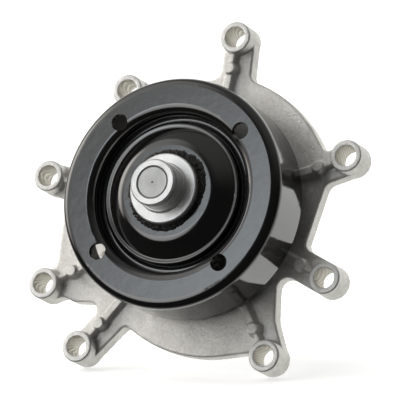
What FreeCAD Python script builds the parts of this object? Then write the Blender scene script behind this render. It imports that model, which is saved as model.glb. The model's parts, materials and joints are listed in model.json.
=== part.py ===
import FreeCAD, Part
import math
import os
import re
import Sketcher

# Engine water pump with a welded belt pulley.  Millimetres.
# The pump axis is Y: the pulley faces -Y, the engine is at +Y, and the mounting face is the plane Y = 0.

Vector = FreeCAD.Vector
document = FreeCAD.newDocument("water_pump")

DIMENSIONS = {
    # shaft and pulley hub
    "shaft_radius": 7.959, "shaft_front_y": -65.8, "shaft_rear_y": 34.0, "shaft_chamfer": 0.6,
    "centre_mark_radius": 0.5, "centre_mark_depth": 0.35,
    "nose_radius": 11.55, "nose_front_y": -66.0, "nose_chamfer": 0.8, "nose_groove_y": -64.2,
    "nose_groove_depth": 0.3, "nose_groove_width": 0.5, "nose_foot": 0.6, "nose_bore_chamfer": 0.4,
    "collar_radius": 12.25, "collar_front_y": -56.0, "collar_chamfer": 0.3,
    "flange_radius": 17.28, "flange_front_y": -53.76, "flange_chamfer": 0.5,
    "spigot_radius": 14.2, "hub_rear_y": -46.0,
    # pulley: pressed sheet, front surface of each zone and its sheet thickness
    "sheet": 2.6, "web_y": -49.0, "dome_radius": 24.6, "dome_edge": 6.0,
    "ridge_radius": 34.9, "ridge_y": -43.3, "ridge_foot_radius": 32.9, "ridge_foot_y": -43.1,
    "ridge_edge": 0.9, "floor_y": -38.2, "floor_inner_radius": 36.6, "floor_outer_radius": 38.9,
    "floor_edge": 1.1, "annulus_y": -47.1, "annulus_inner_radius": 39.5, "annulus_edge": 4.8,
    "drum_radius": 57.45, "drum_corner": 4.4, "drum_rear_y": -17.0,
    "tool_hole_radius": 4.24, "tool_hole_circle": 45.77, "tool_hole_angle": 42.0, "tool_hole_count": 4,
    # weld bead round the hub flange
    "bead_radius": 21.0, "bead_height": 1.6, "bead_toe": 0.6, "bead_toe_height": 1.1,
    # bearing: balls at the rear, rollers at the front, the shaft is the inner race
    "ring_radius": 19.05, "ring_front_y": -43.4, "ring_rear_y": -4.5, "ring_bore": 13.5, "ring_chamfer": 0.8,
    "ball_radius": 3.95, "ball_pitch": 11.17, "ball_y": -14.5, "ball_groove": 4.0, "ball_count": 7,
    "roller_radius": 2.98, "roller_pitch": 10.97, "roller_y": -34.0, "roller_length": 9.6, "roller_count": 9,
    "track_radius": 13.98, "track_length": 10.0,
    "ball_cage_inner": 10.2, "ball_cage_length": 10.4, "roller_cage_inner": 9.5, "roller_cage_length": 12.6,
    "cage_outer": 12.7, "pocket_play": 0.2,
    "grease_seal_bore": 8.3, "grease_seal_length": 1.7, "grease_seal_inset": 0.5,
    # mechanical seal
    "slinger_radius": 12.5, "slinger_front_y": -2.6, "slinger_rear_y": -1.2,
    "cup_radius": 18.3, "cup_front_y": 1.4, "cup_wall": 0.8, "cup_bore": 9.0,
    "cup_flange_radius": 20.8, "cup_flange_front_y": 8.6, "cup_flange_rear_y": 9.4,
    "bellows_bore": 9.4, "bellows_sleeve": 11.0, "bellows_flange": 17.0, "bellows_flange_y": 3.4,
    "spring_radius": 14.0, "spring_wire": 0.6, "spring_turns": 2.5, "spring_sections_per_turn": 12,
    "face_front_y": 8.3, "face_step_y": 9.4, "face_bore": 9.8, "face_carbon_radius": 15.5,
    "face_chamfer": 1.5, "face_retainer_radius": 16.4, "face_retainer_rear_y": 12.2, "carbon_rear_y": 13.0,
    "mating_front_y": 13.02, "mating_rear_y": 16.5, "mating_bore": 9.2, "mating_radius": 16.0,
    "boot_front_y": 14.0, "boot_rear_y": 18.0,
    # impeller
    "bush_radius": 13.0, "bush_rear_y": 33.0, "bush_chamfer": 0.8,
    "impeller_radius": 38.0, "impeller_front_y": 19.0, "impeller_disc": 2.6,
    "impeller_hub_radius": 17.0, "impeller_hub_rear_y": 27.0,
    "vane_rear_y": 32.0, "vane_inner_radius": 18.5, "vane_bow_radius": 21.0, "vane_thickness": 2.4,
    "vane_sweep": 54, "vane_count": 7,
    # housing casting
    "plate_front_y": -8.0, "boss_front_y": -14.48, "boss_back_radius": 8.31,
    "boss_front_radius": 7.96, "boss_edge": 0.5, "bolt_radius": 5.4, "bolt_chamfer": 0.5,
    "arm_half_width": 8.0, "plate_edge": 1.2,
    "rib_width": 3.8, "rib_root_width": 6.6, "rib_front_y": -11.8, "rib_inner_radius": 20.0,
    "web_width": 2.0, "web_root_width": 4.2, "web_front_y": -12.4,
    "pad_radius": 2.8, "pad_root_radius": 4.0, "pad_front_y": -13.4, "pad_inset": 15.6,
    "snout_front_y": -43.5, "snout_radius": 23.8, "snout_draft": 0.6, "snout_foot_radius": 31.0,
    "snout_foot_y": -26.0, "snout_sweep": 20.0, "snout_chamfer": 1.2, "chamber_radius": 15.0,
    "rear_boss_radius": 24.5, "rear_boss_root": 27.5, "rear_boss_y": 8.6,
    "pocket_outer_radius": 47.0, "pocket_y": -3.5, "pocket_rib_width": 4.0, "pocket_rib_count": 8,
    "pocket_rib_turn": 20.0,
    "groove_inner_radius": 51.0, "groove_outer_radius": 54.0, "groove_y": -2.4,
    "weep_radius": 2.5, "weep_start_radius": 13.0, "weep_start_y": -1.0, "weep_length": 30.0,
    "weep_slope": 38.0,
}

# Centres of the eight bolt bosses, (x, z), clockwise from the top one as seen from the pulley side.
BOLT_CENTRES = [(10.9, 87.0), (76.4, 27.3), (71.9, -33.1), (45.2, -72.3),
                (-55.3, -72.3), (-78.4, -41.2), (-83.3, 14.1), (-44.9, 59.4)]
for number, (bolt_x, bolt_z) in enumerate(BOLT_CENTRES, start=1):
    DIMENSIONS[f"bolt_x_{number}"] = bolt_x
    DIMENSIONS[f"bolt_z_{number}"] = bolt_z

sheet = document.addObject("Spreadsheet::Sheet", "Size")
for row, (alias, number) in enumerate(DIMENSIONS.items(), start=1):
    sheet.set(f"A{row}", alias)
    sheet.set(f"B{row}", str(number))
    sheet.setAlias(f"B{row}", alias)
document.recompute()


def formula(text):
    """A formula on the sheet: plain names become references to its cells."""
    return re.sub(r"\b(?!(?:cos|sin|atan2|sqrt)\b)[a-z_]\w*", r"Size.\g<0>", str(text))


def number_of(text):
    """The number that a formula stands for."""
    return float(sheet.evalExpression(formula(text)))


def bind(thing, prop, text):
    """Drive one property of an object by a formula."""
    thing.setExpression(prop, formula(text))


def place(thing, across=0, along=0, up=0, spin=None):
    """Drive an object's position, and its turn about the pump axis."""
    bind(thing, "Placement.Base.x", across)
    bind(thing, "Placement.Base.y", along)
    bind(thing, "Placement.Base.z", up)
    if spin is not None:
        thing.Placement.Rotation = FreeCAD.Rotation(Vector(0, 1, 0), -number_of(spin))


def origin_feature(body, role):
    return next(item for item in body.Origin.OriginFeatures if item.Role == role)


def new_sketch(body, role, name):
    sketch = body.newObject("Sketcher::SketchObject", name)
    sketch.AttachmentSupport = [(origin_feature(body, role), "")]
    sketch.MapMode = "FlatFace"
    return sketch


def fixing(shape, point, across, up):
    """Constraints, each with its formula, that hold a sketch point at two measures from the origin."""
    for kind, other_axis, text in (("DistanceX", -2, across), ("DistanceY", -1, up)):
        if abs(number_of(text)) < 1e-9:
            yield Sketcher.Constraint("PointOnObject", shape, point, other_axis), None
        else:
            yield Sketcher.Constraint(kind, -1, 1, shape, point, number_of(text)), text


def constrain(sketch, pairs):
    """Add constraints in one go, so that they are solved together, and drive them by their formulas."""
    pairs = list(pairs)
    first = sketch.ConstraintCount
    sketch.addConstraint([constraint for constraint, text in pairs])
    for index, (constraint, text) in enumerate(pairs, start=first):
        if text is not None:
            bind(sketch, f"Constraints[{index}]", text)


def outline(sketch, corners):
    """Closed outline of straight lines through corners (across, up, ...); each measure is a formula."""
    points = [Vector(number_of(corner[0]), number_of(corner[1]), 0) for corner in corners]
    count = len(points)
    pairs = []
    for index in range(count):
        sketch.addGeometry(Part.LineSegment(points[index], points[(index + 1) % count]))
    for index, corner in enumerate(corners):
        pairs.append((Sketcher.Constraint("Coincident", (index - 1) % count, 2, index, 1), None))
        pairs += fixing(index, 1, corner[0], corner[1])
    constrain(sketch, pairs)


def is_turned_corner(edge, across, up):
    """True for the circle that a profile corner at radius across and height up along Y turns into."""
    return (isinstance(edge.Curve, Part.Circle) and abs(edge.Curve.Radius - across) < 1e-4
            and abs(edge.Curve.Center.y - up) < 1e-4)


def is_upright_corner(edge, across, up):
    """True for the edge along Y that a plate corner at x across and z up turns into."""
    return all(abs(vertex.X - across) < 1e-4 and abs(vertex.Z - up) < 1e-4 for vertex in edge.Vertexes)


def round_corners(body, label, corners, is_corner):
    """Round the corners that name a radius, one fillet for each radius."""
    radii = sorted({str(corner[2]) for corner in corners if len(corner) == 3})
    for order, radius in enumerate(radii):
        document.recompute()
        base = body.Tip
        fillet = body.newObject("PartDesign::Fillet", f"{label}_rounding_{order}")
        places = [(number_of(corner[0]), number_of(corner[1])) for corner in corners
                  if len(corner) == 3 and str(corner[2]) == radius]
        fillet.Base = (base, [f"Edge{index}" for index, edge in enumerate(base.Shape.Edges, start=1)
                              if any(is_corner(edge, across, up) for across, up in places)])
        bind(fillet, "Radius", radius)


def turned(label, corners):
    """Body turned about the pump axis from corners (radius, y) or (radius, y, rounding radius)."""
    body = document.addObject("PartDesign::Body", label)
    sketch = new_sketch(body, "XY_Plane", label + "_profile")
    outline(sketch, corners)
    revolution = body.newObject("PartDesign::Revolution", label + "_turned")
    revolution.Profile = sketch
    revolution.ReferenceAxis = (sketch, ["V_Axis"])
    revolution.Angle = 360
    round_corners(body, label, corners, is_turned_corner)
    return body


def ring(label, inner, outer, front, rear):
    """Plain turned ring."""
    return turned(label, [(inner, front), (outer, front), (outer, rear), (inner, rear)])


def cylinder_along_y(name, radius, front, length):
    """Cylinder whose axis is parallel to the pump axis and which grows towards +Y."""
    cylinder = document.addObject("Part::Cylinder", name)
    bind(cylinder, "Radius", radius)
    bind(cylinder, "Height", length)
    bind(cylinder, "Placement.Base.y", front)
    cylinder.Placement.Rotation = FreeCAD.Rotation(Vector(1, 0, 0), -90)
    return cylinder


def combine(kind, label, **links):
    result = document.addObject(kind, label)
    for prop, value in links.items():
        setattr(result, prop, value)
    return result


def circle_places(count_name, radius_name):
    """Formulas for x and z of evenly spaced places on a circle round the pump axis."""
    count = int(number_of(count_name))
    for step in range(count):
        angle = f"({step} * 360 / {count_name})"
        yield step, f"{radius_name} * cos({angle})", f"{radius_name} * sin({angle})"


# ---------------------------------------------------------------- bearing
def make_bearing():
    """Outer ring, ball row, roller row, their cages and the two grease seals."""
    turned("bearing_shaft_blank", [
        (0, "shaft_front_y + centre_mark_depth"), ("centre_mark_radius", "shaft_front_y"),
        ("shaft_radius - shaft_chamfer", "shaft_front_y"),
        ("shaft_radius", "shaft_front_y + shaft_chamfer"), ("shaft_radius", "shaft_rear_y - shaft_chamfer"),
        ("shaft_radius - shaft_chamfer", "shaft_rear_y"), (0, "shaft_rear_y")])
    track_front = "roller_y - track_length / 2"
    track_rear = "roller_y + track_length / 2"
    turned("bearing_ring_blank", [
        ("ring_bore", "ring_front_y"), ("ring_radius - ring_chamfer", "ring_front_y"),
        ("ring_radius", "ring_front_y + ring_chamfer"), ("ring_radius", "ring_rear_y - ring_chamfer"),
        ("ring_radius - ring_chamfer", "ring_rear_y"), ("ring_bore", "ring_rear_y"),
        ("ring_bore", track_rear), ("track_radius", track_rear),
        ("track_radius", track_front), ("ring_bore", track_front)])
    for label, blank in (("bearing_shaft", "bearing_shaft_blank"),
                         ("bearing_outer_ring", "bearing_ring_blank")):
        groove = document.addObject("Part::Torus", label + "_ball_groove")
        bind(groove, "Radius1", "ball_pitch")
        bind(groove, "Radius2", "ball_groove")
        bind(groove, "Placement.Base.y", "ball_y")
        groove.Placement.Rotation = FreeCAD.Rotation(Vector(1, 0, 0), -90)
        combine("Part::Cut", label, Base=document.getObject(blank), Tool=groove)

    balls, ball_pockets = [], []
    for step, across, up in circle_places("ball_count", "ball_pitch"):
        ball = document.addObject("Part::Sphere", f"ball_{step}")
        bind(ball, "Radius", "ball_radius")
        place(ball, across, "ball_y", up)
        balls.append(ball)
        pocket = document.addObject("Part::Cylinder", f"ball_pocket_{step}")
        bind(pocket, "Radius", "ball_radius + pocket_play")
        bind(pocket, "Height", "ball_pitch")
        outward = Vector(number_of(across), 0, number_of(up))
        pocket.Placement.Rotation = FreeCAD.Rotation(Vector(0, 0, 1), outward)
        place(pocket, f"({across}) / 2", "ball_y", f"({up}) / 2")
        ball_pockets.append(pocket)
    rollers, roller_pockets = [], []
    for step, across, up in circle_places("roller_count", "roller_pitch"):
        for group, play in ((rollers, "0"), (roller_pockets, "pocket_play")):
            front = f"roller_y - roller_length / 2 - {play}"
            roller = cylinder_along_y(f"roller_{len(group)}", f"roller_radius + {play} / 2", front,
                                      f"roller_length + 2 * {play}")
            place(roller, across, front, up)
            group.append(roller)
    combine("Part::Compound", "rear_balls", Links=balls)
    combine("Part::Compound", "front_rollers", Links=rollers)
    for label, inner, centre, length, pockets in (
            ("rear_cage", "ball_cage_inner", "ball_y", "ball_cage_length", ball_pockets),
            ("front_cage", "roller_cage_inner", "roller_y", "roller_cage_length", roller_pockets)):
        blank = ring(label + "_blank", inner, "cage_outer",
                     f"{centre} - {length} / 2", f"{centre} + {length} / 2")
        pocket_group = combine("Part::Compound", label + "_pockets", Links=pockets)
        combine("Part::Cut", label, Base=blank, Tool=pocket_group)

    ring("front_bearing_seal", "grease_seal_bore", "ring_bore",
         "ring_front_y + grease_seal_inset", "ring_front_y + grease_seal_inset + grease_seal_length")
    ring("rear_bearing_seal", "grease_seal_bore", "ring_bore",
         "ring_rear_y - grease_seal_inset - grease_seal_length", "ring_rear_y - grease_seal_inset")


# ---------------------------------------------------------------- pulley
def make_pulley():
    """Hub pressed on the shaft, pressed sheet pulley welded round the hub flange."""
    turned("pulley_hub", [
        ("shaft_radius", "nose_front_y + nose_bore_chamfer"),
        ("shaft_radius + nose_bore_chamfer", "nose_front_y"),
        ("nose_radius - nose_chamfer", "nose_front_y"),
        ("nose_radius", "nose_front_y + nose_chamfer"), ("nose_radius", "nose_groove_y"),
        ("nose_radius - nose_groove_depth", "nose_groove_y"),
        ("nose_radius - nose_groove_depth", "nose_groove_y + nose_groove_width"),
        ("nose_radius", "nose_groove_y + nose_groove_width"),
        ("nose_radius", "collar_front_y"), ("collar_radius - collar_chamfer", "collar_front_y"),
        ("collar_radius", "collar_front_y + collar_chamfer"),
        ("collar_radius", "flange_front_y", "nose_foot"),
        ("flange_radius - flange_chamfer", "flange_front_y"),
        ("flange_radius", "flange_front_y + flange_chamfer"), ("flange_radius", "web_y"),
        ("spigot_radius", "web_y"), ("spigot_radius", "hub_rear_y"), ("shaft_radius", "hub_rear_y")])
    turned("weld_bead", [
        ("flange_radius", "web_y"), ("bead_radius", "web_y"),
        ("bead_radius - bead_toe", "web_y - bead_toe_height"),
        ("flange_radius", "web_y - bead_height")])
    body = turned("pulley", [
        ("spigot_radius", "web_y"), ("dome_radius", "web_y", "dome_edge"),
        ("ridge_foot_radius", "ridge_foot_y", "ridge_edge"), ("ridge_radius", "ridge_y", "ridge_edge"),
        ("floor_inner_radius", "floor_y", "floor_edge"), ("floor_outer_radius", "floor_y", "floor_edge"),
        ("annulus_inner_radius", "annulus_y", "annulus_edge"), ("drum_radius", "annulus_y", "drum_corner"),
        ("drum_radius", "drum_rear_y"), ("drum_radius - sheet", "drum_rear_y"),
        ("drum_radius - sheet", "annulus_y + sheet", "drum_corner - sheet"),
        ("annulus_inner_radius + sheet", "annulus_y + sheet", "annulus_edge - sheet"),
        ("floor_outer_radius + sheet", "floor_y + sheet", "floor_edge + sheet"),
        ("floor_inner_radius - sheet * 0.9", "floor_y + sheet", "floor_edge + sheet * 0.7"),
        ("ridge_foot_radius", "ridge_foot_y + sheet", "floor_edge"),
        ("dome_radius - sheet * 0.35", "web_y + sheet", "dome_edge / 2"),
        ("spigot_radius", "web_y + sheet")])
    sketch = new_sketch(body, "XZ_Plane", "tool_hole_sketch")
    across, up = "tool_hole_circle * cos(tool_hole_angle)", "tool_hole_circle * sin(tool_hole_angle)"
    hole = sketch.addGeometry(Part.Circle(Vector(number_of(across), number_of(up), 0),
                                          Vector(0, 0, 1), number_of("tool_hole_radius")))
    constrain(sketch, [
        (Sketcher.Constraint("Radius", hole, number_of("tool_hole_radius")), "tool_hole_radius"),
        *fixing(hole, 3, across, up)])
    pocket = body.newObject("PartDesign::Pocket", "tool_hole")
    pocket.Profile = sketch
    pocket.Type = "ThroughAll"
    pocket.Midplane = True
    pattern = body.newObject("PartDesign::PolarPattern", "tool_holes")
    pattern.Originals = [pocket]
    pattern.Axis = (origin_feature(body, "Y_Axis"), [""])
    pattern.Angle = 360
    bind(pattern, "Occurrences", "tool_hole_count")
    body.Tip = pattern


# ---------------------------------------------------------------- shaft seal
def make_shaft_seal():
    """Slinger, and the spring-loaded face seal between the housing and the impeller."""
    ring("slinger", "shaft_radius", "slinger_radius", "slinger_front_y", "slinger_rear_y")
    turned("seal_cup", [
        ("cup_bore", "cup_front_y"), ("cup_radius", "cup_front_y", "cup_wall"),
        ("cup_radius", "cup_flange_front_y"), ("cup_flange_radius", "cup_flange_front_y"),
        ("cup_flange_radius", "cup_flange_rear_y"), ("cup_radius - cup_wall", "cup_flange_rear_y"),
        ("cup_radius - cup_wall", "cup_front_y + cup_wall"), ("cup_bore", "cup_front_y + cup_wall")])
    turned("seal_bellows", [
        ("bellows_bore", "cup_front_y + cup_wall"), ("bellows_flange", "cup_front_y + cup_wall"),
        ("bellows_flange", "bellows_flange_y"), ("bellows_sleeve", "bellows_flange_y"),
        ("bellows_sleeve", "face_front_y"), ("bellows_bore", "face_front_y")])
    turned("seal_retainer", [
        ("face_bore", "face_front_y"), ("face_retainer_radius", "face_front_y"),
        ("face_retainer_radius", "face_retainer_rear_y"), ("face_carbon_radius", "face_retainer_rear_y"),
        ("face_carbon_radius", "face_step_y"), ("face_bore", "face_step_y")])
    turned("carbon_ring", [
        ("face_bore", "face_step_y"), ("face_carbon_radius", "face_step_y"),
        ("face_carbon_radius", "face_retainer_rear_y"),
        ("face_carbon_radius - face_chamfer", "carbon_rear_y"),
        ("face_bore", "carbon_rear_y")])
    ring("mating_ring", "mating_bore", "mating_radius", "mating_front_y", "mating_rear_y")
    turned("mating_ring_boot", [
        ("shaft_radius", "boot_front_y"), ("mating_bore", "boot_front_y"), ("mating_bore", "mating_rear_y"),
        ("mating_radius", "mating_rear_y"), ("mating_radius", "boot_rear_y"),
        ("shaft_radius", "boot_rear_y")])

    # round wire drawn through circles that stand square to the coil's centre line
    wire_radius, coil_radius = number_of("spring_wire"), number_of("spring_radius")
    coil_front = number_of("bellows_flange_y + spring_wire")
    coil_length = number_of("face_front_y - spring_wire") - coil_front
    coil_turn = math.radians(360) * number_of("spring_turns")
    rise = coil_length / coil_turn
    section_count = int(number_of("spring_turns * spring_sections_per_turn")) + 1
    sections = []
    for index in range(section_count):
        turn = coil_turn * index / (section_count - 1)
        centre = Vector(coil_radius * math.cos(turn), coil_front + rise * turn, coil_radius * math.sin(turn))
        along = Vector(-coil_radius * math.sin(turn), rise, coil_radius * math.cos(turn))
        sections.append(Part.Wire(Part.Circle(centre, along, wire_radius).toShape()))
    spring = document.addObject("Part::Feature", "seal_spring")
    spring.Shape = Part.makeLoft(sections, True, False)


# ---------------------------------------------------------------- impeller
def make_impeller():
    """Bush pressed on the shaft, and a disc with curved vanes that face the engine."""
    turned("impeller_bush", [
        ("shaft_radius", "boot_rear_y"), ("bush_radius", "boot_rear_y"),
        ("bush_radius", "bush_rear_y - bush_chamfer"), ("bush_radius - bush_chamfer", "bush_rear_y"),
        ("shaft_radius", "bush_rear_y")])
    disc_rear = "impeller_front_y + impeller_disc"
    body = turned("impeller", [
        ("bush_radius", "impeller_front_y"), ("impeller_radius", "impeller_front_y", "impeller_disc / 3"),
        ("impeller_radius", disc_rear, "impeller_disc / 3"), ("impeller_hub_radius", disc_rear, 2),
        ("impeller_hub_radius - 1", "impeller_hub_rear_y"), ("bush_radius", "impeller_hub_rear_y")])
    sketch = new_sketch(body, "XZ_Plane", "vane_footprint")
    bow = number_of("vane_bow_radius")
    half = number_of("vane_thickness") / 2
    root = Vector(number_of("vane_inner_radius"), 0, 0)
    sweep = math.radians(number_of("vane_sweep"))
    centre = root + Vector(0, -bow, 0)
    edges = []
    for radius in (bow + half, bow - half):
        start, middle, end = (centre + Vector(math.sin(turn), math.cos(turn), 0) * radius
                              for turn in (0, sweep / 2, sweep))
        edges.append((start, middle, end))
    outer = sketch.addGeometry(Part.Arc(*edges[0]))
    inner = sketch.addGeometry(Part.Arc(*edges[1]))
    tip = sketch.addGeometry(Part.LineSegment(edges[0][2], edges[1][2]))
    heel = sketch.addGeometry(Part.LineSegment(edges[1][0], edges[0][0]))
    # arcs are stored anticlockwise, so each one starts at the vane tip
    for first, first_end, second, second_end in ((outer, 1, tip, 1), (tip, 2, inner, 1),
                                                 (inner, 2, heel, 1), (heel, 2, outer, 2)):
        sketch.addConstraint(Sketcher.Constraint("Coincident", first, first_end, second, second_end))
    bind(sketch, "AttachmentOffset.Base.z", "-(impeller_front_y + impeller_disc / 2)")
    vane = body.newObject("PartDesign::Pad", "vane")
    vane.Profile = sketch
    vane.Reversed = True
    bind(vane, "Length", "vane_rear_y - impeller_front_y - impeller_disc / 2")
    pattern = body.newObject("PartDesign::PolarPattern", "vanes")
    pattern.Originals = [vane]
    pattern.Axis = (origin_feature(body, "Y_Axis"), [""])
    pattern.Angle = 360
    bind(pattern, "Occurrences", "vane_count")
    body.Tip = pattern


# ---------------------------------------------------------------- housing
def lug_ends(number, heading):
    """Two corners beside a bolt centre, across an arm that points along heading (degrees from +X)."""
    side_x = f"arm_half_width * cos({heading + 90})"
    side_z = f"arm_half_width * sin({heading + 90})"
    left = (f"bolt_x_{number} + {side_x}", f"bolt_z_{number} + {side_z}")
    right = (f"bolt_x_{number} - {side_x}", f"bolt_z_{number} - {side_z}")
    return left, right


def is_plate_front_edge(edge):
    """True for the plate's front edges, apart from the short ends of the arms, which the bosses cover."""
    box, centre, front = edge.BoundBox, edge.CenterOfMass, number_of("plate_front_y")
    in_front_plane = abs(box.YMin - front) < 1e-3 and abs(box.YMax - front) < 1e-3
    ends_an_arm = any(math.hypot(centre.x - x, centre.z - z) < 0.03 for x, z in BOLT_CENTRES)
    return in_front_plane and not ends_an_arm


def wedge_out(name, heading, inner, outer, front, width, root_width):
    """Bar that runs outwards from the pump axis on the plate, with sides that lean out to its root."""
    bar = document.addObject("Part::Wedge", name)
    for prop, text in (("Xmin", inner), ("X2min", inner), ("Xmax", outer), ("X2max", outer),
                       ("Ymin", front), ("Ymax", "plate_front_y + 1"),
                       ("Zmin", f"-{width} / 2"), ("Zmax", f"{width} / 2"),
                       ("Z2min", f"-{root_width} / 2"), ("Z2max", f"{root_width} / 2")):
        bind(bar, prop, text)
    bar.Placement.Rotation = FreeCAD.Rotation(Vector(0, 1, 0), -heading)
    return bar


def cone_along_y(name, front_radius, rear_radius, front, length, across, up):
    """Cone whose axis is parallel to the pump axis, with its front face at front."""
    cone = document.addObject("Part::Cone", name)
    bind(cone, "Radius1", front_radius)
    bind(cone, "Radius2", rear_radius)
    bind(cone, "Height", length)
    cone.Placement.Rotation = FreeCAD.Rotation(Vector(1, 0, 0), -90)
    place(cone, across, front, up)
    return cone


def make_plate():
    """Cast plate whose outline runs from arm to arm, clockwise seen from the pulley side."""
    corners = []
    corners += lug_ends(1, 90)
    corners += [(18.9, 66.8, 5), (46.0, 55.8, 69), (62.5, 30.6, 3)]
    corners += lug_ends(2, 21)
    corners += [(65.1, 14.4, 5), (57.6, -17.5, 4.5)]
    corners += lug_ends(3, -25.3)
    corners += [(44.6, -29.0, 5.5), (46.4, -54.0, 15)]
    corners += [lug_ends(4, -68)[0], (38.0, -69.7), (-5.0, -77.2, 68.7), (-33.4, -59.6, 3)]
    corners += lug_ends(5, -131.4)
    corners += [(-45.2, -48.7, 4), (-63.5, -48.9, 6), (-69.3, -46.4, 4)]
    corners += lug_ends(6, -158)
    corners += [(-75.0, -31.0, 5), (-75.0, 3.8, 5)]
    corners += lug_ends(7, 166)
    corners += [(-67.0, 18.3, 4), (-57.4, 40.2, 40), (-47.4, 49.5, 4)]
    corners += [lug_ends(8, 127)[0], lug_ends(8, 152.3)[1]]
    corners += [(-33.0, 62.2, 10), (2.9, 67.3, 6)]
    body = document.addObject("PartDesign::Body", "plate")
    sketch = new_sketch(body, "XZ_Plane", "plate_outline")
    outline(sketch, corners)
    pad = body.newObject("PartDesign::Pad", "plate_pad")
    pad.Profile = sketch
    bind(pad, "Length", "-plate_front_y")
    round_corners(body, "plate", corners, is_upright_corner)

    document.recompute()
    base = body.Tip
    rounding = body.newObject("PartDesign::Fillet", "plate_front_rounding")
    rounding.Base = (base, [f"Edge{index}" for index, edge in enumerate(base.Shape.Edges, start=1)
                            if is_plate_front_edge(edge)])
    bind(rounding, "Radius", "plate_edge")
    return body


def make_housing():
    """Die-cast housing: plate, snout that holds the bearing, bolt bosses, ribs, seal bore and weep hole."""
    solids = [make_plate()]
    solids.append(turned("snout", [
        (0, "snout_front_y"), ("snout_radius - snout_chamfer", "snout_front_y"),
        ("snout_radius", "snout_front_y + snout_chamfer"),
        ("snout_radius + snout_draft", "snout_foot_y", "snout_sweep"),
        ("snout_foot_radius", "plate_front_y + 1"), ("rear_boss_root", "pocket_y - 1"),
        ("rear_boss_radius", "rear_boss_y - 1"), ("rear_boss_radius - 1", "rear_boss_y"),
        (0, "rear_boss_y")]))
    bolts, bolt_chamfers = [], []
    for number in range(1, len(BOLT_CENTRES) + 1):
        across, up = f"bolt_x_{number}", f"bolt_z_{number}"
        reach = f"sqrt({across} ^ 2 + {up} ^ 2)"
        pad_reach = f"({reach} - pad_inset)"
        heading = math.degrees(math.atan2(number_of(up), number_of(across)))
        solids += [
            cone_along_y(f"boss_edge_{number}", "boss_front_radius - boss_edge", "boss_front_radius",
                         "boss_front_y", "boss_edge", across, up),
            cone_along_y(f"boss_{number}", "boss_front_radius", "boss_back_radius",
                         "boss_front_y + boss_edge", "-boss_front_y - boss_edge", across, up),
            wedge_out(f"rib_{number}", heading, "rib_inner_radius", pad_reach,
                      "rib_front_y", "rib_width", "rib_root_width"),
            wedge_out(f"web_{number}", heading, pad_reach, reach,
                      "web_front_y", "web_width", "web_root_width"),
            cone_along_y(f"pad_{number}", "pad_radius", "pad_root_radius", "pad_front_y",
                         "plate_front_y + 1 - pad_front_y",
                         f"{across} * {pad_reach} / {reach}", f"{up} * {pad_reach} / {reach}")]
        bolt = cylinder_along_y(f"bolt_hole_{number}", "bolt_radius", "boss_front_y - 1", "2 - boss_front_y")
        place(bolt, across, "boss_front_y - 1", up)
        bolts.append(bolt)
        mouth = cone_along_y(f"bolt_chamfer_{number}", "bolt_radius + bolt_chamfer", "bolt_radius",
                             "boss_front_y", "bolt_chamfer", across, up)
        bolt_chamfers.append(mouth)
    casting = combine("Part::MultiFuse", "casting", Shapes=solids)

    pocket = ring("rear_pocket", "rear_boss_root", "pocket_outer_radius", "pocket_y", 1)
    pocket_ribs = []
    for step in range(int(number_of("pocket_rib_count") / 2)):
        bar = document.addObject("Part::Box", f"pocket_rib_{step}")
        bind(bar, "Length", "2 * pocket_outer_radius + 4")
        bind(bar, "Width", "-pocket_y - 1")
        bind(bar, "Height", "pocket_rib_width")
        turn = math.radians(step * 360 / number_of("pocket_rib_count") + number_of("pocket_rib_turn"))
        half_length, half_width = number_of("pocket_outer_radius + 2"), number_of("pocket_rib_width / 2")
        bar.Placement.Rotation = FreeCAD.Rotation(Vector(0, 1, 0), -math.degrees(turn))
        bar.Placement.Base = Vector(-half_length * math.cos(turn) + half_width * math.sin(turn),
                                    number_of("pocket_y"),
                                    -half_length * math.sin(turn) - half_width * math.cos(turn))
        pocket_ribs.append(bar)
    rib_group = combine("Part::MultiFuse", "pocket_ribs", Shapes=pocket_ribs)
    pocket_cut = combine("Part::Cut", "ribbed_pocket", Base=pocket, Tool=rib_group)

    groove = ring("seal_groove", "groove_inner_radius", "groove_outer_radius", "groove_y", 1)
    bores = turned("bearing_and_seal_bore", [
        (0, "snout_front_y - 1"), ("ring_radius", "snout_front_y - 1"), ("ring_radius", "ring_rear_y"),
        ("chamber_radius", "ring_rear_y"), ("chamber_radius", "cup_front_y"), ("cup_radius", "cup_front_y"),
        ("cup_radius", "rear_boss_y + 1"), (0, "rear_boss_y + 1")])
    weep = document.addObject("Part::Cylinder", "weep_hole")
    bind(weep, "Radius", "weep_radius")
    bind(weep, "Height", "weep_length")
    weep.Placement.Rotation = FreeCAD.Rotation(Vector(1, 0, 0), 180 - number_of("weep_slope"))
    place(weep, 0, "weep_start_y", "-weep_start_radius")
    result = casting
    bolt_holes = combine("Part::Compound", "bolt_holes", Links=bolts)
    bolt_mouths = combine("Part::Compound", "bolt_mouths", Links=bolt_chamfers)
    cuts = (("casting_pocketed", pocket_cut), ("casting_grooved", groove), ("casting_bored", bores),
            ("casting_drained", weep), ("casting_drilled", bolt_holes), ("housing", bolt_mouths))
    for label, void in cuts:
        result = combine("Part::Cut", label, Base=result, Tool=void)
    ring("face_seal", "groove_inner_radius", "groove_outer_radius", "groove_y", 0)


NODES = [
    "housing", "face_seal", "bearing_outer_ring", "bearing_shaft", "front_rollers", "front_cage",
    "rear_balls", "rear_cage", "front_bearing_seal", "rear_bearing_seal", "pulley_hub", "weld_bead",
    "pulley", "slinger", "seal_cup", "seal_bellows", "seal_spring", "seal_retainer", "carbon_ring",
    "mating_ring", "mating_ring_boot", "impeller_bush", "impeller",
]

for make_group in (make_bearing, make_pulley, make_shaft_seal, make_impeller, make_housing):
    make_group()
    document.recompute()

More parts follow.
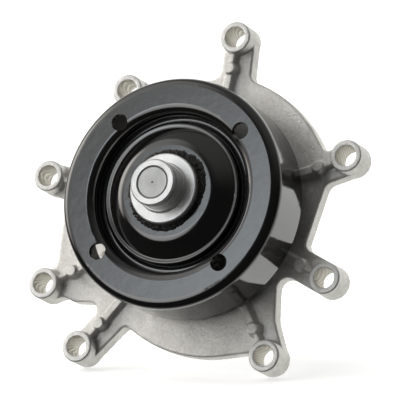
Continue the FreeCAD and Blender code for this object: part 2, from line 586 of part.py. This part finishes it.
for item in document.Objects:
    if "Invalid" in item.State or "Error" in item.State:
        raise RuntimeError(f"{item.Label}: {item.State}")
for node in NODES:
    shape = document.getObject(node).Shape
    if shape.isNull() or not shape.isValid():
        raise RuntimeError(f"{node}: no valid shape")

os.makedirs("parts", exist_ok=True)
for node in NODES:
    shape = document.getObject(node).Shape
    shape.exportStep(f"parts/{node}.step")
    print(f"{node}: {len(shape.Solids)} solids, {shape.Volume:.1f} mm3")
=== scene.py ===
"""Engine water pump: finishes, cast and welded surfaces, studio and camera.

In metres and in the pump's own frame: the origin is on the pump axis at the mounting face, the pulley
faces -Y and +Z is up.
"""
import json
import math

import bmesh
import bpy
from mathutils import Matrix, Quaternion, Vector, noise


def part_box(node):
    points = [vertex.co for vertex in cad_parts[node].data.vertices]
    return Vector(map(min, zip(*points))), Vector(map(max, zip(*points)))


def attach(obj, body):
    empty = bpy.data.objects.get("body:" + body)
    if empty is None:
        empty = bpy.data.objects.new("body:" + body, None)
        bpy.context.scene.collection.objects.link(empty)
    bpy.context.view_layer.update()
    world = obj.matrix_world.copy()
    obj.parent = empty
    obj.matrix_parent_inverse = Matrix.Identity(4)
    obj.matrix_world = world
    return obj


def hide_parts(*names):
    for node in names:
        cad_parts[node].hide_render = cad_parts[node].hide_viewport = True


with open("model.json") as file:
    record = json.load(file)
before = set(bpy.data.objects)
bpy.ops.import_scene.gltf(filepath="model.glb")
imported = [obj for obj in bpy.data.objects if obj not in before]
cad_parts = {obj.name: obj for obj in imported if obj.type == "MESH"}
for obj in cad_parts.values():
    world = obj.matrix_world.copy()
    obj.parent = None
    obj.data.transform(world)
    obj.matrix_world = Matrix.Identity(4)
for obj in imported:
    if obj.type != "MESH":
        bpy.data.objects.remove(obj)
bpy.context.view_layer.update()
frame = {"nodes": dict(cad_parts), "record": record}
cad_nodes = frame["nodes"]
record = frame["record"]
scene = bpy.context.scene
MM = 0.001


# ---------------------------------------------------------------- node trees
# The sockets of a Mix node for each kind of value: first, second, result.
MIX_SOCKETS = {"FLOAT": (2, 3, 0), "VECTOR": (4, 5, 1), "RGBA": (6, 7, 2)}


class NodeTree:
    """Short calls that build the node tree of a material or a world."""

    def __init__(self, owner):
        owner.use_nodes = True
        self.tree = owner.node_tree
        self.tree.nodes.clear()

    def node(self, kind, inputs=None, **settings):
        node = self.tree.nodes.new(kind)
        for name, value in settings.items():
            setattr(node, name, value)
        for name, value in (inputs or {}).items():
            self.feed(node.inputs[name], value)
        return node

    def feed(self, socket, value):
        """Link an input to another node's output, or set it to a plain value."""
        if isinstance(value, bpy.types.NodeSocket):
            self.tree.links.new(value, socket)
        else:
            socket.default_value = value

    def calc(self, operation, first, second=0.0):
        return self.node("ShaderNodeMath", {0: first, 1: second}, operation=operation).outputs[0]

    def span(self, value, low, high, to_low=0.0, to_high=1.0, smooth=False):
        """Carry a value from the range low to high into the range to_low to to_high."""
        ranges = {"Value": value, "From Min": low, "From Max": high, "To Min": to_low, "To Max": to_high}
        kind = "SMOOTHSTEP" if smooth else "LINEAR"
        return self.node("ShaderNodeMapRange", ranges, interpolation_type=kind).outputs["Result"]

    def mix(self, kind, factor, first, second):
        """Number, vector or colour between first and second."""
        one, two, result = MIX_SOCKETS[kind]
        inputs = {"Factor": factor, one: first, two: second}
        return self.node("ShaderNodeMix", inputs, data_type=kind).outputs[result]


# ---------------------------------------------------------------- finishes
class Finish(NodeTree):
    """One material on a Principled shader, with the patterns that the finishes share."""

    def __init__(self, name, **sockets):
        self.material = bpy.data.materials.new(name)
        super().__init__(self.material)
        self.shader = self.node("ShaderNodeBsdfPrincipled")
        self.output = self.node("ShaderNodeOutputMaterial", {"Surface": self.shader.outputs["BSDF"]})
        self.place = self.node("ShaderNodeTexCoord").outputs["Object"]
        for socket, value in sockets.items():
            self.set(socket.replace("_", " "), value)

    def set(self, socket, value):
        self.feed(self.shader.inputs[socket], value)

    def noise(self, size, detail=4, roughness=0.5):
        """Noise from 0 to 1 whose largest features are about that size."""
        inputs = {"Vector": self.place, "Scale": 1 / size, "Detail": detail, "Roughness": roughness}
        return self.node("ShaderNodeTexNoise", inputs).outputs["Fac"]

    def cells(self, size):
        """Distance from the middle of the nearest cell, for cells of about that size."""
        inputs = {"Vector": self.place, "Scale": 1 / size}
        return self.node("ShaderNodeTexVoronoi", inputs).outputs["Distance"]

    def blend(self, factor, first, second):
        """Colour between first and second, each an RGB triple or an output."""
        pair = [colour if isinstance(colour, bpy.types.NodeSocket) else (*colour, 1)
                for colour in (first, second)]
        return self.mix("RGBA", factor, *pair)

    def bump(self, height, depth, under=None):
        """Relief of that depth, laid over the relief under it."""
        inputs = {"Height": height, "Distance": depth}
        if under is not None:
            inputs["Normal"] = under
        normal = self.node("ShaderNodeBump", inputs).outputs["Normal"]
        self.set("Normal", normal)
        return normal

    def turning_marks(self, pitch):
        """Waves of a lathe tool: rings on faces square to the pump axis, and bands along turned sides."""
        wander = 0.12 * MM
        parts = self.node("ShaderNodeSeparateXYZ", {0: self.place}).outputs
        across = self.calc("MULTIPLY", parts["X"], parts["X"])
        up = self.calc("MULTIPLY", parts["Z"], parts["Z"])
        radius = self.calc("SQRT", self.calc("ADD", across, up))
        travel = self.calc("ADD", radius, parts["Y"])
        drift = self.span(self.noise(4 * MM), 0, 1, -wander, wander)
        phase = self.calc("MULTIPLY", self.calc("ADD", travel, drift), 2 * math.pi / pitch)
        return self.span(self.calc("SINE", phase), -1, 1)

    def sum_of(self, first, first_share, second, second_share):
        """Weighted sum of two patterns."""
        return self.calc("ADD", self.calc("MULTIPLY", first, first_share),
                         self.calc("MULTIPLY", second, second_share))


def turned_metal(name, dark, bright, roughness, pitch, depth, metallic=1.0):
    """Turned metal with tool marks, faint stains and uneven polish."""
    finish = Finish(name, Metallic=metallic)
    marks = finish.turning_marks(pitch)
    fine_marks = finish.turning_marks(pitch * 0.37)
    stain = finish.span(finish.noise(9 * MM, 6, 0.6), 0.35, 0.7)
    finish.set("Base Color", finish.blend(finish.sum_of(fine_marks, 0.35, stain, 0.65), dark, bright))
    finish.set("Roughness", finish.span(finish.noise(3 * MM, 5, 0.65), 0.3, 0.75, *roughness))
    under = finish.bump(marks, depth)
    finish.bump(finish.noise(0.6 * MM, 3), depth * 0.6, under=under)
    return finish.material


def rubber(name, colour):
    """Matt moulded rubber with a faint grey bloom."""
    finish = Finish(name, Metallic=0.0, Specular_IOR_Level=0.35)
    bloom = [part * 2.4 + 0.01 for part in colour]
    finish.set("Base Color", finish.blend(finish.noise(4 * MM, 6, 0.6), colour, bloom))
    finish.set("Roughness", finish.span(finish.noise(2 * MM, 5), 0.3, 0.7, 0.55, 0.8))
    finish.bump(finish.noise(0.5 * MM, 4), 0.05 * MM)
    return finish.material


def rough_casting(name, dark, bright, metallic):
    """Sand-cast skin, pitted and blotched."""
    finish = Finish(name, Metallic=metallic)
    pits = finish.span(finish.cells(0.9 * MM), 0.0, 0.6)
    finish.set("Base Color", finish.blend(finish.noise(6 * MM, 8, 0.65), dark, bright))
    finish.set("Roughness", finish.span(finish.noise(2 * MM, 5), 0.3, 0.7, 0.5, 0.75))
    under = finish.bump(pits, 0.12 * MM)
    finish.bump(finish.noise(0.7 * MM, 5, 0.7), 0.1 * MM, under=under)
    return finish.material


def moulded(name, dark, bright, roughness):
    """Smooth hard material with faint clouds: nylon, carbon or ceramic."""
    finish = Finish(name, Metallic=0.0)
    finish.set("Base Color", finish.blend(finish.noise(5 * MM, 6, 0.6), dark, bright))
    finish.set("Roughness", finish.span(finish.noise(2.5 * MM, 4), 0.3, 0.7, *roughness))
    finish.bump(finish.noise(0.8 * MM, 4), 0.02 * MM)
    return finish.material


def cast_aluminium():
    """Shot-blasted die casting, with machined faces and drilled bores where the mesh says so."""
    finish = Finish("cast_aluminium", Metallic=0.65, Specular_IOR_Level=0.4)
    machined = finish.node("ShaderNodeAttribute", attribute_name="machined").outputs["Fac"]
    drilled = finish.node("ShaderNodeAttribute", attribute_name="drilled").outputs["Fac"]
    ridges = finish.turning_marks(1.1 * MM)

    clouds = finish.noise(18 * MM, 6, 0.6)
    grain = finish.noise(1.6 * MM, 5, 0.75)
    tone = finish.span(finish.sum_of(clouds, 0.45, grain, 0.55), 0.35, 0.68)
    cast = finish.blend(tone, (0.55, 0.54, 0.515), (0.84, 0.83, 0.80))
    cut = finish.blend(finish.turning_marks(0.35 * MM), (0.52, 0.515, 0.50), (0.64, 0.635, 0.62))
    bored = finish.blend(ridges, (0.66, 0.64, 0.59), (0.88, 0.86, 0.81))
    finish.set("Base Color", finish.blend(drilled, finish.blend(machined, cast, cut), bored))

    blasted = finish.span(finish.noise(4 * MM, 5), 0.3, 0.7, 0.52, 0.64)
    tooled = finish.span(finish.noise(2 * MM, 5), 0.3, 0.7, 0.38, 0.48)
    finish.set("Roughness", finish.mix("FLOAT", machined, blasted, tooled))

    dents = finish.sum_of(finish.noise(1.4 * MM, 4, 0.7), 1.4, finish.noise(4 * MM, 3), 0.8)
    height = finish.mix("FLOAT", drilled, dents, finish.calc("MULTIPLY", ridges, 0.9))
    finish.bump(height, 0.22 * MM)
    return finish.material


def black_paint():
    """Glossy black dip paint: slight orange peel, dust and uneven gloss."""
    finish = Finish("black_paint", Metallic=0.0, IOR=1.7)
    dust = finish.span(finish.noise(1.6 * MM, 6, 0.75), 0.52, 0.8)
    film = finish.span(finish.noise(30 * MM, 4, 0.5), 0.3, 0.7)
    black = finish.blend(film, (0.003, 0.003, 0.0035), (0.007, 0.0065, 0.006))
    finish.set("Base Color", finish.blend(dust, black, (0.016, 0.015, 0.014)))
    finish.set("Roughness", finish.span(finish.noise(6 * MM, 5, 0.6), 0.3, 0.7, 0.06, 0.12))
    under = finish.bump(finish.noise(3.5 * MM, 2, 0.4), 0.02 * MM)
    finish.bump(finish.noise(0.8 * MM, 3), 0.004 * MM, under=under)
    return finish.material


def painted_weld():
    """Weld metal under the same black paint."""
    finish = Finish("painted_weld", Metallic=0.0, IOR=1.45)
    dust = finish.span(finish.noise(1.5 * MM, 5, 0.7), 0.4, 0.75)
    finish.set("Base Color", finish.blend(dust, (0.003, 0.003, 0.003), (0.025, 0.023, 0.021)))
    finish.set("Roughness", finish.span(finish.noise(1 * MM, 5), 0.3, 0.7, 0.18, 0.5))
    under = finish.bump(finish.noise(1.1 * MM, 5, 0.7), 0.6 * MM)
    finish.bump(finish.cells(0.7 * MM), 0.15 * MM, under=under)
    return finish.material


finishes = {
    "cast_aluminium": cast_aluminium(),
    "black_paint": black_paint(),
    "weld_metal": painted_weld(),
    "machined_steel": turned_metal("turned_steel", (0.52, 0.52, 0.52), (0.72, 0.72, 0.72), (0.32, 0.42),
                                   pitch=0.9 * MM, depth=0.02 * MM, metallic=0.6),
    "shaft_steel": turned_metal("shaft_steel", (0.24, 0.24, 0.235), (0.35, 0.35, 0.34), (0.32, 0.42),
                                pitch=0.6 * MM, depth=0.01 * MM),
    "bearing_steel": turned_metal("bearing_steel", (0.52, 0.52, 0.53), (0.66, 0.66, 0.67), (0.08, 0.2),
                                  pitch=0.4 * MM, depth=0.003 * MM),
    "spring_steel": turned_metal("spring_steel", (0.45, 0.45, 0.44), (0.62, 0.62, 0.60), (0.2, 0.35),
                                 pitch=0.4 * MM, depth=0.004 * MM),
    "seal_brass": turned_metal("seal_brass", (0.50, 0.36, 0.16), (0.72, 0.55, 0.27), (0.2, 0.35),
                               pitch=0.7 * MM, depth=0.006 * MM),
    "impeller_iron": rough_casting("impeller_iron", (0.13, 0.125, 0.12), (0.25, 0.24, 0.225), 0.8),
    "black_rubber": rubber("black_rubber", (0.012, 0.012, 0.012)),
    "cage_plastic": moulded("cage_plastic", (0.24, 0.14, 0.06), (0.34, 0.21, 0.10), (0.4, 0.55)),
    "carbon": moulded("carbon", (0.02, 0.02, 0.021), (0.05, 0.05, 0.052), (0.3, 0.45)),
    "ceramic": moulded("ceramic", (0.66, 0.64, 0.58), (0.78, 0.76, 0.70), (0.12, 0.25)),
}


def wear(piece, slot):
    """Give a piece the finish of a material slot."""
    piece.data.materials.clear()
    piece.data.materials.append(finishes[slot])


for part in record["subparts"]:
    wear(cad_nodes[part["node"]], part["material_slot"])


# ---------------------------------------------------------------- new pieces
def new_piece(name, mesh, body, slot, *replaced):
    """Put a mesh in the scene as a piece that rides on a body and stands for the replaced nodes."""
    piece = bpy.data.objects.new(name, mesh)
    scene.collection.objects.link(piece)
    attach(piece, body)
    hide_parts(*replaced)
    wear(piece, slot)
    return piece


def spoke(turn):
    """Unit vector square to the pump axis, turned from +X towards +Z."""
    return Vector((math.cos(turn), 0, math.sin(turn)))


def join_rings(shape, rings, closed=False):
    """Faces between neighbouring rings of points, and from the last ring to the first if closed."""
    following = rings[1:] + rings[:1] if closed else rings[1:]
    for near, far in zip(rings, following):
        for index in range(len(near)):
            after = (index + 1) % len(near)
            shape.faces.new((near[index], near[after], far[after], far[index]))


def finished_mesh(name, shape, crease):
    """Mesh of a shape, smooth apart from edges sharper than crease degrees."""
    mesh = bpy.data.meshes.new(name)
    shape.to_mesh(mesh)
    shape.free()
    mesh.shade_smooth()
    mesh.set_sharp_from_angle(angle=math.radians(crease))
    return mesh


def mark(mesh, attribute, holds):
    """Point attribute for the cast aluminium finish: 1 where holds(place), else 0."""
    values = mesh.attributes.new(attribute, "FLOAT", "POINT").data
    for index, vertex in enumerate(mesh.vertices):
        values[index].value = float(holds(vertex.co))


# ---------------------------------------------------------------- casting
# Where the bolt bores' axes are in X and Z.
BOLT_CENTRES = [Vector((mount["pos_m"][0], mount["pos_m"][2])) for mount in record["mounts"]
                if mount["name"].startswith("mounting_hole")]
BOLT_RADIUS = 5.4 * MM
BOSS_FRONT = -14.48 * MM
BOSS_REACH = 9 * MM        # a milled boss face ends within this distance of its bolt
SNOUT_BORES = 19.8 * MM    # the snout is bored out within this radius


def bolt_distance(place):
    """Distance of a place from the axis of the nearest bolt bore."""
    spot = Vector((place.x, place.z))
    return min((spot - centre).length for centre in BOLT_CENTRES)


def is_bolt_bore(place):
    return bolt_distance(place) < BOLT_RADIUS + 0.25 * MM


def is_machined(place):
    """Whether a place lies on a boss face, on the mounting face or in the snout's bores."""
    on_boss = place.y < BOSS_FRONT + 0.35 * MM and bolt_distance(place) < BOSS_REACH
    on_mounting_face = place.y > -0.3 * MM
    in_snout = Vector((place.x, place.z)).length < SNOUT_BORES
    return on_boss or on_mounting_face or in_snout


def cast_housing():
    """The casting with the soft corners and blended feet that a die leaves."""
    source = bpy.data.objects.new("housing_source", cad_nodes["housing"].data.copy())
    scene.collection.objects.link(source)
    weld = source.modifiers.new("weld", "WELD")
    weld.merge_threshold = 0.002 * MM
    remesh = source.modifiers.new("remesh", "REMESH")
    remesh.mode = "VOXEL"
    remesh.voxel_size = 0.4 * MM
    remesh.adaptivity = 0.0
    soften = source.modifiers.new("soften", "SMOOTH")
    soften.factor = 0.5
    soften.iterations = 1
    bpy.context.view_layer.update()
    evaluated = source.evaluated_get(bpy.context.evaluated_depsgraph_get())
    casting = bpy.data.meshes.new_from_object(evaluated)
    casting.name = "cast_housing"
    bpy.data.objects.remove(source)
    casting.shade_smooth()
    mark(casting, "machined", is_machined)
    mark(casting, "drilled", is_bolt_bore)
    return new_piece("housing_casting", casting, "housing", "cast_aluminium", "housing")


# Section of a milled boss face round its bolt bore: radius and height above the mounting face, in mm.
BOSS_FACE = ((7.52, 14.40), (7.46, 14.49), (7.38, 14.52), (5.62, 14.52), (5.50, 14.50), (5.36, 14.42))


def bolt_bores():
    """Milled face of each bolt boss, and the ridges that the drill left in its bore."""
    front, rear = -14.3 * MM, -0.4 * MM
    ridge_pitch = 1.45 * MM
    sides, rows = 64, 72
    turns = [2 * math.pi * side / sides for side in range(sides)]
    shape = bmesh.new()
    for number, bolt in enumerate(BOLT_CENTRES):
        centre = Vector((bolt.x, 0, bolt.y))
        rings = []
        for radius, height in BOSS_FACE:
            middle = centre + Vector((0, -height * MM, 0))
            rings.append([shape.verts.new(middle + spoke(turn) * radius * MM) for turn in turns])
        for row in range(rows + 1):
            depth = front + (rear - front) * row / rows
            middle = centre + Vector((0, depth, 0))
            drift = Vector((number * 3.1, depth * 300, 0))    # the ridges stray differently in each bore
            ring = []
            for turn in turns:
                stray = noise.noise(spoke(turn) * 1.7 + drift)
                wave = math.sin(2 * math.pi * depth / ridge_pitch + 1.2 * stray + number)
                radius = BOLT_RADIUS - (0.17 - 0.11 * wave + 0.05 * stray) * MM
                ring.append(shape.verts.new(middle + spoke(turn) * radius))
            rings.append(ring)
        join_rings(shape, rings)
    mesh = finished_mesh("bolt_bores", shape, 40)
    milled = front - 0.05 * MM
    mark(mesh, "machined", lambda place: place.y < milled)
    mark(mesh, "drilled", lambda place: place.y >= milled)
    return new_piece("bolt_bores", mesh, "housing", "cast_aluminium")


# ---------------------------------------------------------------- weld
def swell(turn, centre, width):
    """Rise that is 1 at the centre angle and fades over about width degrees on each side."""
    return math.exp(-((turn - math.radians(centre)) / math.radians(width)) ** 2)


def weld_edge(turn):
    """How far the weld's edge runs past its even line: small ripples, one wide lump and one gap."""
    side = spoke(turn)
    waves, ripples, beads = (noise.noise(side * scale) for scale in (5.0, 16.0, 47.0))
    ripple = 0.6 * waves + 0.6 * ripples + 0.55 * beads
    return (0.9 * ripple + 1.9 * swell(turn, 38, 24) - 1.6 * swell(turn, 325, 22) - 0.7) * MM


def weld_skin(turn, share):
    """How far the weld's skin stands off a straight slope, at a share of the way down it."""
    side = spoke(turn)
    coarse = noise.noise(side * 26.0 + Vector((0, share * 3.3, 0)))
    fine = noise.noise(side * 61.0 + Vector((0, share * 8.0, 0)))
    lump = (coarse + 0.7 * fine) * 0.62 * math.sin(math.pi * min(1, share + 0.12))
    return (0.45 * math.sin(math.pi * share) + lump) * MM


def weld_ring():
    """Uneven fillet weld between the hub flange and the pulley web."""
    low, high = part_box("weld_bead")
    outer, front, web = high.x, low.y, high.y
    inner = 17.0 * MM    # just inside the edge of the hub flange
    sunk = -0.3 * MM     # the weld's edge dips into the web
    steps, rows = 720, 14
    shape = bmesh.new()
    rings = []
    for step in range(steps):
        turn = 2 * math.pi * step / steps
        reach = outer - inner + weld_edge(turn)
        ring = []
        for row in range(rows + 1):
            share = row / rows
            slope = (web - front) * (1 - share)
            height = slope + weld_skin(turn, share) if row < rows else sunk
            place = spoke(turn) * (inner + reach * share) + Vector((0, web - height, 0))
            ring.append(shape.verts.new(place))
        rings.append(ring)
    join_rings(shape, rings, closed=True)
    bmesh.ops.recalc_face_normals(shape, faces=shape.faces)
    return new_piece("weld_ring", finished_mesh("weld_ring", shape, 50), "rotor", "weld_metal", "weld_bead")


cast_housing()
bolt_bores()
weld_ring()


# ---------------------------------------------------------------- studio
UP = Vector((0, -0.342, 0.940)).normalized()
BOSS_BACK_RADIUS = 8.31 * MM
FLOOR_HALF = 12.0


def floor():
    """Pale floor square to UP, under the lowest arms: the pump leans back on them."""
    lowest = min(UP.dot(Vector((centre.x, 0, centre.y - BOSS_BACK_RADIUS))) for centre in BOLT_CENTRES)
    right = Vector((1, 0, 0)) * FLOOR_HALF
    away = UP.cross(right)
    middle = UP * lowest
    corners = [middle - right - away, middle + right - away, middle + right + away, middle - right + away]
    mesh = bpy.data.meshes.new("studio_floor")
    mesh.from_pydata(corners, [], [(0, 1, 2, 3)])
    plane = bpy.data.objects.new("studio_floor", mesh)
    scene.collection.objects.link(plane)
    finish = Finish("floor_paint", Metallic=0.0, Roughness=0.9, Specular_IOR_Level=0.1)
    finish.set("Base Color", finish.blend(finish.noise(0.4, 3), (0.86, 0.86, 0.86), (0.9, 0.9, 0.9)))
    finish.set("Emission Color", (1, 1, 1, 1))
    finish.set("Emission Strength", 0.5)
    see_through = finish.node("ShaderNodeBsdfTransparent").outputs["BSDF"]
    below = finish.node("ShaderNodeNewGeometry").outputs["Backfacing"]
    one_sided = finish.node("ShaderNodeMixShader", {"Fac": below, 1: finish.shader.outputs["BSDF"],
                                                    2: see_through})
    finish.feed(finish.output.inputs["Surface"], one_sided.outputs[0])
    mesh.materials.append(finish.material)
    plane.visible_glossy = False
    plane.visible_diffuse = False
    return plane


# Soft lights at infinity: direction, angles in degrees where the full part and the glow end, and colour
# times strength.
SOFT_LIGHTS = (
    ((-0.57, -0.80, 0.17), 8, 25, (0.92, 0.915, 0.905)),
    ((-0.335, -0.93, 0.135), 1, 9.5, (2.5, 2.8, 3.0)),
    ((-0.93, -0.33, 0.28), 4, 26, (4.4, 4.2, 3.95)),
    ((-0.62, -0.52, 0.59), 6, 34, (1.2, 1.18, 1.15)),
    ((-0.42, -0.88, -0.20), 6, 22, (2.9, 2.87, 2.82)),
)
# Strength of the world's light from in front, from behind and from above, and its colour.
SURROUNDINGS = 0.045
BACKDROP = 1.6
CEILING = 0.3
WORLD_TINT = (1.0, 1.0, 0.965)


def studio_world():
    """White to the camera.  As light: a backdrop behind the pump, dim surroundings and SOFT_LIGHTS."""
    world = bpy.data.worlds.new("studio")
    scene.world = world
    sky = NodeTree(world)
    direction = sky.node("ShaderNodeTexCoord").outputs["Generated"]
    parts = sky.node("ShaderNodeSeparateXYZ", {0: direction}).outputs
    behind = sky.span(parts["Y"], 0.1, 0.8, SURROUNDINGS, BACKDROP, smooth=True)
    above = sky.span(parts["Z"], 0.2, 0.9, 0.0, CEILING, smooth=True)
    total = sky.node("ShaderNodeVectorMath", {0: WORLD_TINT, "Scale": sky.calc("ADD", behind, above)},
                     operation="SCALE").outputs["Vector"]
    for towards, full, end, colour in SOFT_LIGHTS:
        nearness = sky.node("ShaderNodeVectorMath", {0: direction, 1: Vector(towards).normalized()},
                            operation="DOT_PRODUCT").outputs["Value"]
        share = sky.span(nearness, math.cos(math.radians(end)), math.cos(math.radians(full)), smooth=True)
        glow = sky.node("ShaderNodeVectorMath", {0: colour, "Scale": share}, operation="SCALE")
        total = sky.node("ShaderNodeVectorMath", {0: total, 1: glow.outputs["Vector"]},
                         operation="ADD").outputs["Vector"]
    seen = sky.node("ShaderNodeLightPath").outputs["Is Camera Ray"]
    shown = sky.mix("VECTOR", seen, total, (1, 1, 1))
    background = sky.node("ShaderNodeBackground", {"Color": shown})
    sky.node("ShaderNodeOutputWorld", {"Surface": background.outputs["Background"]})


LIGHT_DISTANCE = 1.6


def softbox(name, direction, width, height, radiance):
    """Rectangular area light that faces the pump from a direction."""
    data = bpy.data.lights.new(name, "AREA")
    data.shape = "RECTANGLE"
    data.size = width
    data.size_y = height
    data.energy = radiance * math.pi * width * height
    light = bpy.data.objects.new(name, data)
    scene.collection.objects.link(light)
    direction = Vector(direction).normalized()
    light.location = direction * LIGHT_DISTANCE
    light.rotation_mode = "QUATERNION"
    light.rotation_quaternion = (-direction).to_track_quat("-Z", "Y")
    light.visible_camera = False
    light.visible_glossy = False
    return light


floor()
studio_world()
softbox("top", (-0.3, -0.45, 0.84), 1.2, 1.0, radiance=2.2)
softbox("low_fill", (-0.52, -0.82, -0.27), 0.7, 0.7, radiance=0.35)


# ---------------------------------------------------------------- camera
# The photo's view: from low on the right, with the pump rolled a little in the picture.
VIEW_FROM = Vector((0.54699, -1.20029, -0.26392))
VIEW_AT = Vector((-0.0043, 0.0, 0.0067))
VIEW_ROLL = math.radians(6.72)

camera = bpy.data.objects.new("camera", bpy.data.cameras.new("camera"))
scene.collection.objects.link(camera)
camera.data.sensor_width = 36.0
camera.data.lens = 243.5
camera.data.clip_start = 0.05
camera.data.clip_end = 60.0
camera.location = VIEW_FROM
camera.rotation_mode = "QUATERNION"
camera.rotation_quaternion = ((VIEW_AT - VIEW_FROM).to_track_quat("-Z", "Y")
                              @ Quaternion((0, 0, 1), VIEW_ROLL))
scene.camera = camera
scene.view_settings.view_transform = "Standard"
